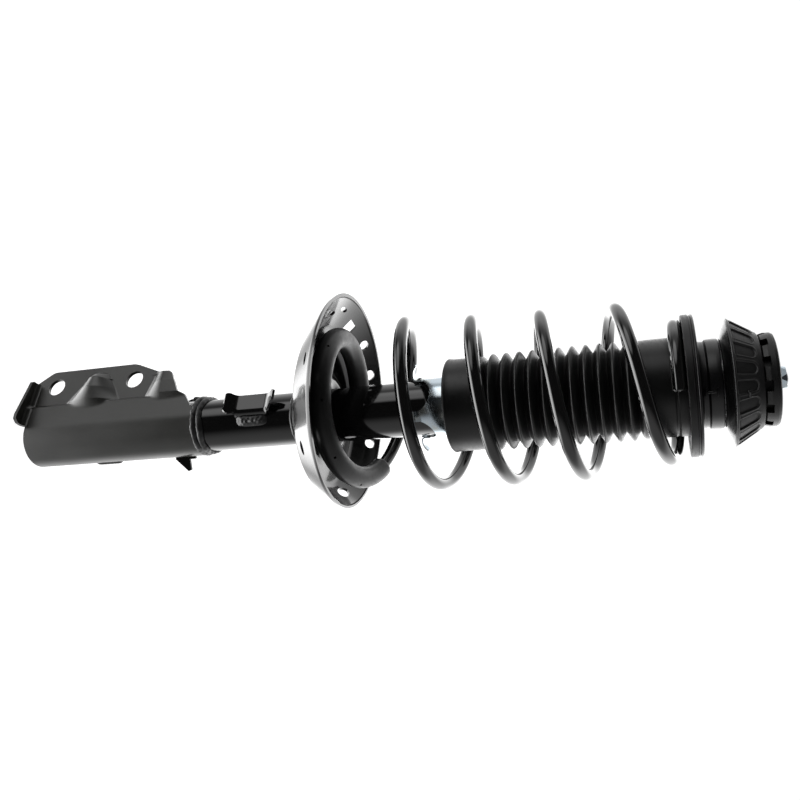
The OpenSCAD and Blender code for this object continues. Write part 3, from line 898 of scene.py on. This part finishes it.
def bump_cap_piece():
    """The zinc-plated pressing: a crown and a skirt with arches between its legs."""
    rows, n = 36, 240
    verts = []
    for i in range(rows):
        for j in range(n):
            a = 2 * math.pi * j / n
            off = off_angle(a - LEAN, ARCH_ANGLE, 360 / LEGS)
            across = abs(math.radians(off)) * SKIRT_MIDDLE_R
            arch = math.sqrt(ARCH_R**2 - min(across, ARCH_R - 0.01) ** 2) if across < ARCH_R else 0
            foot = SKIRT_LOW + arch
            z = foot + (CROWN_Z - 1.9 - foot) * i / (rows - 1)
            verts.append((SKIRT_R * math.cos(a), SKIRT_R * math.sin(a), z))
    crown = [(SKIRT_R, CROWN_Z - 1.8), (SKIRT_R - 0.1, CROWN_Z), (CROWN_BORE, CROWN_Z)]
    verts += turned(rounded(crown, 2.0, 6)[1:], n)
    obj = piece("bump_cap_shell", verts, tube(len(verts) // n, n), ZINC, "strut_body")
    outwards(obj)
    thicken(obj, CAP_SHEET)
    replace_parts(obj, "bump_cap")


def hook_piece(k):
    """One leg's end, curled outwards."""
    out = heading(LEAN + math.radians(ARCH_ANGLE + (k - 0.5) * 360 / LEGS))
    side = AXIS.cross(out)
    path = rounded(HOOK_PATH, 1.6, 4)
    verts = []
    for r, z in path:
        half = 4.4 - 0.16 * max(0, r - 26)
        verts += [r * out + s * half * side + z * AXIS for s in (-1, -0.5, 0, 0.5, 1)]
    obj = piece(f"bump_cap_hook_{k}", verts, grid(len(path), 5), ZINC, "strut_body")
    thicken(obj, 1.1, 0)


bump_cap_piece()
for k in range(LEGS):
    hook_piece(k)


# ---------------------------------------------------------------- rubber cone of the top mount

CONE_R, CONE_TOP_R, CONE_H = 47.6, 34.6, 20.6
CONE_SLOPE = math.hypot(CONE_R - CONE_TOP_R, CONE_H)
CONE_BASE = -26.3
POCKETS, POCKET_DEPTH = 20, 0.95
POCKET_HALF, POCKET_NARROWING, POCKET_END = 4.9, 1.1, 8.5  # the end's distance is from the top
FLANK_OUT, FLANK_IN = 0.35, -0.45  # a pocket's flank, about its outline
LIP, LIP_AT, LIP_WIDTH = 0.2, 0.9, 0.5
GROOVE, GROOVE_AT, GROOVE_WIDTH = 0.35, 2.0, 0.3
MARK, MARK_ANGLE, MARK_UP = 0.8, 133, 12.6  # height, degrees and how far up the slope
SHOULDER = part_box("mount_core")[0].z / MM - 0.05  # the rod's shoulder, under the steel core


def cone_relief(a, r, s):
    """How far the face stands proud at angle a and s up the slope, where the radius is r."""
    across = np.abs(np.radians(off_angle(a, 0, 360 / POCKETS))) * r
    half = POCKET_HALF - POCKET_NARROWING * s / CONE_SLOPE
    beyond = max(0.0, s - (CONE_SLOPE - POCKET_END))
    outside = np.hypot(across, beyond) - half  # distance from a pocket's outline
    pocket = POCKET_DEPTH * smoothstep(FLANK_OUT, FLANK_IN, outside)
    lip = LIP * np.exp(-(((outside - LIP_AT) / LIP_WIDTH) ** 2))
    from_mark = np.abs(np.radians(off_angle(a, MARK_ANGLE))) * r
    mark = smoothstep(2.3, 1.9, abs(s - MARK_UP)) * smoothstep(2.6, 2.2, from_mark)
    groove = GROOVE * math.exp(-(((s - GROOVE_AT) / GROOVE_WIDTH) ** 2))
    return (lip - pocket) * smoothstep(0.4, 2.2, s) + MARK * mark - groove  # plain at the rim


def cone_piece():
    """The ribbed cone, with its top, its underside and the face that holds the steel core."""
    rows, n = 72, 1440
    a = 2 * math.pi * np.arange(n) / n
    out, up = CONE_H / CONE_SLOPE, (CONE_R - CONE_TOP_R) / CONE_SLOPE
    low = rounded([
        (26.6, CONE_BASE), (33.6, CONE_BASE), (36, -25.6), (CONE_R - 1.2, -CONE_H - 1.0),
        (CONE_R, -CONE_H + 0.2), (CONE_R - 0.4, -CONE_H + 0.8),
    ], 0.7)  # fmt: skip
    top = rounded([(CONE_TOP_R + 0.3, -1.0), (CONE_TOP_R - 0.5, -0.1), (14.1, 0)], 0.8)
    top += [(14.1, SHOULDER + 4.1), (15.1, SHOULDER + 2.6), (26.6, SHOULDER + 2.6)]
    verts = turned(low, n)
    for v in np.linspace(0, 1, rows).tolist():
        r = CONE_R - 0.5 + (CONE_TOP_R + 0.9 - CONE_R) * v
        z = -CONE_H + 0.9 + (CONE_H - 1.9) * v
        relief = cone_relief(a, r, v * CONE_SLOPE)
        face_r = r + relief * out
        verts += zip(face_r * np.cos(a), face_r * np.sin(a), z + relief * up)
    verts += turned(top, n)
    faces = tube(len(verts) // n, n, True)
    obj = piece("mount_cone", verts, faces, CONE, "top_mount")
    obj.data.materials.append(CONE_SKIN)
    for face in obj.data.polygons:
        if face.normal.z < -0.5 and face.center.z < -19 * MM:
            face.material_index = 1
    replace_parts(obj, "mount_rubber")


cone_piece()


# ---------------------------------------------------------------- upper spring seat

HOUSING_PROFILE = [
    (14, -47), (33, -47), (33, -60), (35.3, -60), (35.3, -45.2), (52.4, -45.2), (53.2, -44.6),
    (53.2, -43.8), (52.4, -43), (36.4, -43), (33.6, -42.2), (32.2, -40.6), (32.0, -37.4),
    (32.4, -36.8), (33.3, -36.2), (33.5, -30), (33.3, -27.4), (32.6, -26.9), (27.2, -26.9),
    (27.2, -43), (14, -43), (14, -47),
]  # fmt: skip
PAN_POCKETS, PAN_POCKET_AT, PAN_POCKET_R = 12, 44.5, 3
LUGS, LUG_ANGLE = 2, 131
# The lug's bars: place on the axis, half width round the neck and length along it.
LUG_BARS = ((-38.9, 3.2, 1.6), (-35.0, 0.9, 6.4), (-31.1, 3.2, 1.6))


def upper_seat_piece():
    """The plastic bearing housing: pan, neck and the collar that the boot pushes over."""
    profile = rounded(HOUSING_PROFILE, 0.7, 4)
    n = 224
    verts, faces = turned(profile, n), tube(len(profile), n)
    obj = piece("bearing_housing", verts, faces, HOUSING, "upper_seat")
    pockets = []
    for k in range(PAN_POCKETS):
        a = math.radians((k + 0.5) * 360 / PAN_POCKETS)
        pockets.append(rod(PAN_POCKET_AT * heading(a) - 42.6 * AXIS, AXIS, PAN_POCKET_R, 2.8, 32))
    cut(obj, pockets)
    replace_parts(obj, "upper_spring_seat")


def lug_piece(k):
    """A snap lug on the neck: two short bars and a bridge."""
    out = heading(math.radians(LUG_ANGLE + 360 / LUGS * k))
    side = AXIS.cross(out)
    verts, faces = [], []
    for z, w, h in LUG_BARS:
        faces += ring(len(verts), len(verts) + 6, 6) + caps(len(verts), len(verts) + 6, 6)
        outline = ((-w, 32.0), (-w, 33.9), (-w * 0.4, 34.15), (w * 0.4, 34.15), (w, 33.9), (w, 32.0))
        for end in (z - h / 2, z + h / 2):
            verts += [r * out + s * side + end * AXIS for s, r in outline]
    name = f"housing_lug_{k}"
    obj = piece(name, verts, faces, HOUSING, "upper_seat", False)
    bevel(obj, 0.3, 2, 30)


upper_seat_piece()
for k in range(LUGS):
    lug_piece(k)


# ---------------------------------------------------------------- camera, light and floor

# The line of sight, in degrees: turned from -NEAR about UP, tipped towards UP, and the roll.
TURN, TIP, ROLL = (math.radians(a) for a in (16.57, 0.67, -4.75))
CAMERA_OUT, CAMERA_Z = 0.671, -0.075  # metres along NEAR and along the damper
FOCUS, IMAGE, SENSOR = 850, 800, 36  # focal length and picture in pixels, and the sensor

forward = -math.sin(TURN) * AXIS - math.cos(TURN) * NEAR
right = math.cos(TURN) * AXIS - math.sin(TURN) * NEAR
ahead = math.cos(TIP) * forward + math.sin(TIP) * UP
over = -math.sin(TIP) * forward + math.cos(TIP) * UP
cam_x = math.cos(ROLL) * right + math.sin(ROLL) * over
cam_y = -math.sin(ROLL) * right + math.cos(ROLL) * over
place = CAMERA_OUT * NEAR + CAMERA_Z * AXIS
camera = bpy.data.cameras.new("camera")
camera.sensor_width = SENSOR
camera.lens = FOCUS / IMAGE * SENSOR
camera.clip_start, camera.clip_end = 0.01, 100
cam = bpy.data.objects.new("camera", camera)
scene.collection.objects.link(cam)
cam.matrix_world = Matrix([*zip(cam_x, cam_y, -ahead, place), (0, 0, 0, 1)])
scene.camera = cam
scene.view_settings.view_transform = "Standard"

# Soft light from all round: where each patch is, the cosines where it starts and is full, and
# its strength. Rays from the camera see plain white instead.
BASE_LIGHT, BACKDROP = 0.035, 1.05
PATCHES = [
    (-NEAR, 0.0, 0.55, 1.0),
    (-NEAR, 0.75, 0.96, 1.3),
    (UP, 0.80, 0.98, 0.5),
    (-UP, 0.3, 0.85, 0.5),
    (-0.6 * UP - 0.8 * NEAR, 0.72, 0.95, 0.9),
    (0.1 * NEAR - AXIS, 0.64, 0.95, 6.5),
    (0.85 * UP + 0.44 * NEAR - 0.28 * AXIS, 0.90, 0.98, 1.6),
]

world = bpy.data.worlds.new("studio")
world.use_nodes = True
scene.world = world
world.node_tree.nodes.clear()


def world_node(kind, inputs=None, **props):
    return add_node(world.node_tree, kind, inputs, **props)


def patch_light(direction, start, full, strength):
    """Light that grows smoothly as a ray turns towards direction."""
    ray = world_node("TexCoord").outputs["Generated"]
    sides = {0: ray, 1: tuple(direction.normalized())}
    facing = world_node("VectorMath", sides, operation="DOT_PRODUCT").outputs["Value"]
    inputs = {"Value": facing, "From Min": start, "From Max": full, "To Min": 0, "To Max": strength}
    return world_node("MapRange", inputs, interpolation_type="SMOOTHSTEP").outputs[0]


light = BASE_LIGHT
for patch in PATCHES:
    light = world_node("Math", {0: light, 1: patch_light(*patch)}, operation="ADD").outputs[0]
lit = world_node("Background", {"Color": (1, 1, 1, 1), "Strength": light}).outputs[0]
seen = world_node("Background", {"Color": (1, 1, 1, 1), "Strength": BACKDROP}).outputs[0]
from_camera = world_node("LightPath").outputs["Is Camera Ray"]
pick = world_node("MixShader", {0: from_camera, 1: lit, 2: seen}).outputs[0]
world_node("OutputWorld", {0: pick})

FLOOR_GAP, FLOOR_HALF = 0.02, 4  # metres
floor_mat = Nodes("floor")
floor_mat.set(Base_Color=(0.9, 0.9, 0.9, 1), Roughness=0.9)
floor_mat.set(Emission_Color=(1, 1, 1, 1), Emission_Strength=0.75)
floor_z = before[0].z - FLOOR_GAP
corners = ((1, 1), (-1, 1), (-1, -1), (1, -1))
mesh = bpy.data.meshes.new("floor")
mesh.from_pydata([(FLOOR_HALF * x, FLOOR_HALF * y, floor_z) for x, y in corners], [], [[0, 1, 2, 3]])
mesh.materials.append(floor_mat.mat)
floor = bpy.data.objects.new("floor", mesh)
scene.collection.objects.link(floor)
floor.visible_diffuse = floor.visible_glossy = False
